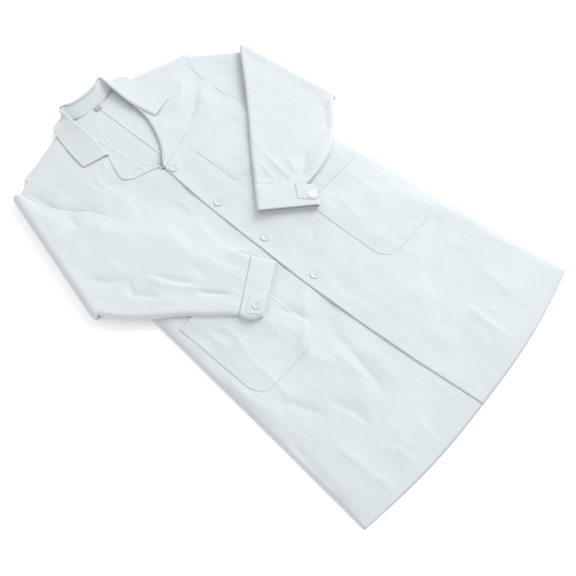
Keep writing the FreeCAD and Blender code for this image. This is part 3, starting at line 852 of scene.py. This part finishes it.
def sleeve_grid(side):
    """The whole sleeve, from the armhole to the cuff, as rings of points."""
    pivot, axis = hinge(f"{SIDE_NAME[side]}_elbow_fold")
    v, ply = sleeve_columns()
    high, low = np.array(INNER_EDGE[side][0], float), np.array(OUTER_EDGE[side][0], float)
    crease = high * (1 - v[:, None]) + low * v[:, None]
    width = np.linalg.norm(low - high)
    half = SLEEVE_HALF * edge_roll(np.minimum(v, 1 - v) * width, ROUND_EDGE)
    rim = at(armhole(side), 0.015 + 0.97 * v) - [3 * side, 0]
    outward = np.array([axis[1], -axis[0]]) * side
    outward = outward * np.sign((crease.mean(axis=0) - rim.mean(axis=0)) @ outward)
    rows = []
    for s in shares(32):
        plan = rim * (1 - s) + crease * s
        z = SLEEVE_HALF - ply * half
        x, y = plan.T
        sink = folds(x, y, UPPER_FOLDS[side]) - 0.9 + 0.9 * noise(x, y, 30, 15)
        swell = math.sin(math.pi * min(s + 0.02, 1))
        z = z + np.where(ply < 0, np.minimum(sink, 0), 0) * swell * (half / SLEEVE_HALF)
        rows.append(np.column_stack([plan, np.clip(z, 0.3, 9.0)]))
    rho = pivot[2] - (SLEEVE_HALF - ply * half)
    for turn in np.linspace(-math.pi / 2, math.pi / 2, 16)[1:-1]:
        plan = crease + outward * (rho * math.cos(turn))[:, None]
        rows.append(np.column_stack([plan, pivot[2] + rho * math.sin(turn)]))
    inner, outer = bend(INNER_EDGE[side]), bend(OUTER_EDGE[side])
    middle = FOREARM_LOW[side] + SLEEVE_HALF
    for s in shares(96):
        a, b = at(inner, s), at(outer, s)
        plan = a * (1 - v[:, None]) + b * v[:, None]
        width = np.linalg.norm(b - a)
        outer_rise = edge_roll((1 - v) * width, ROUND_EDGE)
        lift = SLEEVE_HALF * np.where(v < 0.5, inner_rise(side, v * width, s), outer_rise)
        x, y = plan.T
        rise = folds(x, y, ARM_FOLDS[side]) + rumple(x, y, 31 + side, 0.9)
        near_cuff = math.exp(-((1 - s) / 0.07) ** 2)
        rise = rise + near_cuff * (2.2 * creased(v * 100, 0 * v, 9, 91 + side) - 0.9)
        sag = -1.6 * smooth(np.minimum(v, 1 - v) * width / 45)
        shown = (rise + sag) * smooth(s / 0.10) * (lift / SLEEVE_HALF) * smooth((1 - s) / 0.035)
        z = middle + ply * lift + np.where(ply > 0, np.clip(shown, -7, 4.0), -0.1 * shown)
        if side == RIGHT:
            z = z - (SLEEVE_HALF - lift) * smooth(s / 0.08) * smooth((1 - s) / 0.12)
        rows.append(np.column_stack([plan, np.maximum(z, FOREARM_LOW[side])]))
    return np.stack(rows)


def sleeves():
    """Both sleeves, each one sheet that bends over at the elbow, and their cuffs."""
    for side, name in SIDE_NAME.items():
        points = sleeve_grid(side)
        cloth = grid(f"{name}_sleeve", points, COTTON, ring=True, flip=side == RIGHT)
        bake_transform(cloth)
        settle(cloth, None, "coat_cotton", *[f"{name}_{part}" for part in (
            "upper_sleeve_under", "upper_sleeve_top", "forearm_under", "forearm_top", "armhole_seam")])
        cuff(side, name)


def cuff_grid(side):
    """The band at the wrist, as rings from its seam to its open mouth."""
    v, ply = sleeve_columns()
    seam = np.array([INNER_EDGE[side][-1], OUTER_EDGE[side][-1]], float)
    mouth = np.array(MOUTH[side], float)
    middle = FOREARM_LOW[side] + 4.6
    found = []
    for s in shares(18):
        a, b = (seam[k] * (1 - s) + mouth[k] * s for k in (0, 1))
        corner = 8 * math.sin(math.pi * s)
        along = (b - a) / np.linalg.norm(b - a)
        b = b + along * corner
        plan = a * (1 - v[:, None]) + b * v[:, None]
        width = np.linalg.norm(b - a)
        lift = CUFF_HALF * edge_roll(np.minimum(v, 1 - v) * width, 6)
        bulge = 0.5 * noise(*plan.T, 22, 51 + side) + 0.4 * math.sin(math.pi * s)
        z = middle + ply * lift + np.where(ply > 0, bulge, 0) * (lift / CUFF_CORE)
        found.append(np.column_stack([plan, z]))
    return np.stack(found)


def cuff(side, name):
    """The buttoned band at the wrist."""
    band = grid(f"{name}_cuff_band", cuff_grid(side), COTTON, ring=True, thickness=CUFF_PLY,
                flip=side == RIGHT)
    settle(band, f"{name}_forearm", "coat_cotton", f"{name}_cuff", f"{name}_cuff_interlining")


# ======== pockets
POCKET_LIES = 0.8       # how far a pocket's edge lies above the front
POCKET_SEAM = 5         # how far its stitches are from its edge


def pocket(name, side, low, high, corner, lift, nodes, hem):
    """A patch with rounded lower corners, sewn on round three sides, its hemmed top a little open."""
    (x0, y0), (x1, y1) = low, high
    plan = []
    for w in shares(60):
        y = y1 + (y0 - y1) * w
        rise = max(0.0, (y0 + corner) - y) if corner else 0.0
        inset = corner - math.sqrt(max(corner**2 - rise**2, 0)) if corner else 0.0
        xs = np.linspace(x0 + inset, x1 - inset, 50)
        plan.append(np.column_stack([xs, np.full(50, y)]))
    plan = np.stack(plan)
    x, y = plan[..., 0], plan[..., 1]
    gap = np.minimum(np.minimum(x - plan[:, :1, 0], plan[:, -1:, 0] - x), y - y0)
    puff = lift * smooth(gap / 30) * (0.35 + 0.65 * smooth((y - y0) / (y1 - y0)))
    z = front_level(side, x, y) + POCKET_LIES + puff
    z = z - 0.2 * bell((gap - POCKET_SEAM) / 1.6)
    z = z + 0.25 * smooth((hem - (y1 - y)) / 2) - 0.2 * bell(((y1 - y) - hem) / 2)
    z = z + (0.5 * noise(x, y, 35, 61 + side) + 0.6 * creased(x, y * 0.6, 48, 71 + side)) * smooth(gap / 25)
    patch = grid(name, np.dstack([plan, z]), COTTON, flip=True)
    settle(patch, ROOT, "coat_cotton", *nodes)
    near_x, far_x, low_y = x0 + POCKET_SEAM, x1 - POCKET_SEAM, y0 + POCKET_SEAM
    turn_x, turn_y = corner * 0.3, corner * 0.25
    lines = [
        [(near_x, y1 - 2), (near_x, y0 + corner)],
        [(near_x + turn_x, low_y + turn_y), (x0 + corner, low_y),
         (x1 - corner, low_y), (far_x - turn_x, low_y + turn_y)],
        [(far_x, y0 + corner), (far_x, y1 - 2)],
        [(x0 + 3, y1 - hem), (x1 - 3, y1 - hem)],
    ]
    sewn = stitches(f"{name}_stitching", lines, lambda x, y: front_level(side, x, y) + POCKET_LIES, THREAD)
    settle(sewn, ROOT, "thread")


def pockets():
    for side, name in SIDE_NAME.items():
        low, high = box(f"{name}_hip_pocket")
        pocket(f"{name}_hip_pocket_patch", side, low[:2], high[:2], 38, 2.0,
               [f"{name}_hip_pocket", f"{name}_hip_pocket_hem"], 28)
    low, high = box("chest_pocket")
    pocket("chest_pocket_patch", LEFT, low[:2], high[:2], 10, 0.9, ["chest_pocket", "chest_pocket_hem"], 22)


# ======== buttons
PROFILE_THICK = 3.0     # the thickness that a button's turned profile is drawn at
HOLE_SPREAD = 0.115     # how far a button's holes are from its middle, as a share of its width


def button_mesh(name, centre, across, material, thick=PROFILE_THICK):
    """A four-hole button, turned with a rounded rim and a dished middle."""
    r = across / 2
    profile = [(0, 0.15), (r * 0.7, 0.0), (r * 0.92, 0.35), (r, 1.1), (r * 0.99, 1.8), (r * 0.94, 2.5),
               (r * 0.86, 2.95), (r * 0.78, 2.95), (r * 0.7, 2.55), (r * 0.62, 2.0), (r * 0.5, 1.8),
               (r * 0.25, 1.75), (0, 1.75)]
    turns = 64
    verts = [(0, 0, profile[0][1])]
    for radius, z in profile[1:-1]:
        verts += [(radius * math.cos(2 * math.pi * k / turns), radius * math.sin(2 * math.pi * k / turns), z)
                  for k in range(turns)]
    verts.append((0, 0, profile[-1][1]))
    faces = [(0, 1 + (k + 1) % turns, 1 + k) for k in range(turns)]
    for ring in range(len(profile) - 3):
        a, b = 1 + ring * turns, 1 + (ring + 1) * turns
        faces += [(a + k, a + (k + 1) % turns, b + (k + 1) % turns, b + k) for k in range(turns)]
    last = 1 + (len(profile) - 3) * turns
    faces += [(last + k, last + (k + 1) % turns, len(verts) - 1) for k in range(turns)]
    mesh = bpy.data.meshes.new(name)
    scale = thick / PROFILE_THICK
    mesh.from_pydata([((centre[0] + x) * MM, (centre[1] + y) * MM, (centre[2] + z * scale) * MM)
                      for x, y, z in verts], [], faces)
    made = link(name, mesh, material)
    spread = across * HOLE_SPREAD
    for k, (i, j) in enumerate(((1, 1), (1, -1), (-1, 1), (-1, -1))):
        hole = tubes(f"hole_{k}", [[(centre[0] + i * spread, centre[1] + j * spread, centre[2] - 1),
                                    (centre[0] + i * spread + 1e-4, centre[1] + j * spread, centre[2] + 4)]],
                     0.85, None, 20)
        apply(made, "BOOLEAN", object=hole, operation="DIFFERENCE", solver="EXACT")
        bpy.data.objects.remove(hole, do_unlink=True)
    apply(made, "BEVEL", width=0.00012, segments=2, limit_method="ANGLE", angle_limit=math.radians(50))
    made.data.shade_smooth()
    return made


def sewn_threads(name, centre, across, height):
    """Two bars of thread over the button's holes and the shank below them."""
    spread, paths = across * HOLE_SPREAD, []
    for j in (-1, 1):
        for shift in (-0.35, 0.0, 0.35):
            y = centre[1] + j * spread + shift
            x0, x1, z = centre[0] - spread, centre[0] + spread, centre[2]
            paths.append([(x0, y, z - 1.5), (x0 + 0.1, y, z + 1.7), (x0 + 0.5, y, z + 2.15),
                          (x1 - 0.5, y, z + 2.15), (x1 - 0.1, y, z + 1.7), (x1, y, z - 1.5)])
    for k in range(6):
        turn = k * math.pi / 3
        x, y = centre[0] + 0.8 * math.cos(turn), centre[1] + 0.8 * math.sin(turn)
        paths.append([(x, y, centre[2] - height), (x, y + 0.01, centre[2] + 0.3)])
    return tubes(name, paths, 0.22, THREAD, 8)


def buttons():
    for count in range(1, 5):
        low, high = box(f"front_button_{count}")
        middle = (low + high) / 2
        seat = float(front_level(LEFT, middle[0], middle[1])) + 0.1
        made = button_mesh(f"button_{count}", (middle[0], middle[1], seat), high[0] - low[0], BUTTON, 2.4)
        settle(made, ROOT, "button", f"front_button_{count}")
        threads = sewn_threads(f"button_{count}_thread", (middle[0], middle[1], seat - 0.4), 20, 2.8)
        settle(threads, ROOT, "thread")
        if count == 1:
            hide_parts("button_thread_shanks")
    for side, name in SIDE_NAME.items():
        low, high = box(f"{name}_cuff_button")
        middle = (low + high) / 2
        body = f"{name}_forearm"
        # The right wrist button is given the greyer front-button plastic as painted shade, standing in for
        # the shade in the curled end of that cuff.
        made = button_mesh(f"{name}_wrist_button", (middle[0], middle[1], low[2] + 0.2), high[0] - low[0],
                           CUFF_BUTTON if side == LEFT else BUTTON)
        settle(made, body, "cuff_button", f"{name}_cuff_button")
        threads = sewn_threads(f"{name}_wrist_button_thread", (middle[0], middle[1], low[2] + 0.2), 18, 1.0)
        settle(threads, body, "thread")


# The corners of each cuff's tab
TAB = {LEFT: [(90, -501), (114, -475), (141, -509), (115, -537)],
       RIGHT: [(-131, -574), (-117, -598), (-149, -618), (-167, -594)]}


def tabs():
    """The end of each cuff that laps over the other and is buttoned."""
    for side, name in SIDE_NAME.items():
        a, b, c, d = (np.array(p, float) for p in TAB[side])
        long_u, short_v = shares(26), shares(20)
        rows = []
        for s in long_u:
            p, q = b * (1 - s) + c * s, a * (1 - s) + d * s
            if side == RIGHT:
                p, q = q, p
            mid = (p + q) / 2
            round_end = 1 - 0.25 * smooth((s - 0.85) / 0.15)
            rows.append([mid + (p - mid) * round_end * (1 - 2 * v) for v in short_v])
        plan = np.array(rows)
        low, _ = box(f"{name}_cuff_tab")
        _, v = np.meshgrid(long_u, short_v, indexing="ij")
        z = low[2] + 1.3 + 0.5 * np.sin(np.pi * v)
        z = z - 0.35 * bell((np.minimum(v, 1 - v) - 0.13) / 0.04)
        tab = grid(f"{name}_cuff_lap", np.dstack([plan, z]), COTTON, thickness=1.1, flip=side == LEFT)
        settle(tab, f"{name}_forearm", "coat_cotton", f"{name}_cuff_tab")


# ======== light, floor and camera
def floor():
    mesh = bpy.data.meshes.new("floor")
    half = 6.0
    corners = [(-half, -half, 0), (half, -half, 0), (half, half, 0), (-half, half, 0)]
    mesh.from_pydata(corners, [], [(0, 1, 2, 3)])
    made, _, _, shader = new_material("pale_floor")
    set_inputs(shader, {"Base Color": (0.95, 0.95, 0.95, 1), "Roughness": 0.9, "Specular IOR Level": 0.1,
                        "Emission Color": (1, 1, 1, 1), "Emission Strength": 0.16})
    link("floor", mesh, made)


def lamp(name, kind, energy, aim):
    """A light that shines along aim."""
    made = link(name, bpy.data.lights.new(name, kind))
    made.data.energy = energy
    made.rotation_euler = Vector(aim).to_track_quat("-Z", "Y").to_euler()
    return made


def studio():
    """A white room, a broad sun from the wearer's left and a window beside the skirt."""
    world = bpy.data.worlds.new("studio")
    world.use_nodes = True
    set_inputs(world.node_tree.nodes["Background"], {"Color": (1, 1, 1, 1), "Strength": 0.86})
    bpy.context.scene.world = world
    key = lamp("key", "SUN", 1.55, (-0.82, -0.08, -0.56))
    key.data.angle = math.radians(34)
    window = lamp("window", "AREA", 4.5, (-0.85, -0.2, -0.9))
    window.data.shape = "DISK"
    window.data.size = 0.9
    window.location = (1.05, -0.55, 0.9)
    bpy.context.scene.view_settings.view_transform = "Standard"


CAMERA_AT = (-0.5177, -1.0028, 1.1661)
CAMERA_HEADING = (0.75589, 0.65470)     # its direction in plan, of unit length
CAMERA_TILT = math.radians(62.777)      # how far it looks down


def camera():
    """The photo's camera, as solved from the coat's own lines."""
    made = link("camera", bpy.data.cameras.new("camera"))
    made.data.sensor_width = 36
    made.data.lens = 42.615
    made.location = CAMERA_AT
    along = math.cos(CAMERA_TILT)
    ahead = Vector((CAMERA_HEADING[0] * along, CAMERA_HEADING[1] * along, -math.sin(CAMERA_TILT)))
    made.rotation_euler = ahead.to_track_quat("-Z", "Y").to_euler()
    bpy.context.scene.camera = made


# ======== the coat
floor()
studio()
camera()
backs()
fronts()
lapels()
collar()
neck_label()
sleeves()
tabs()
pockets()
buttons()
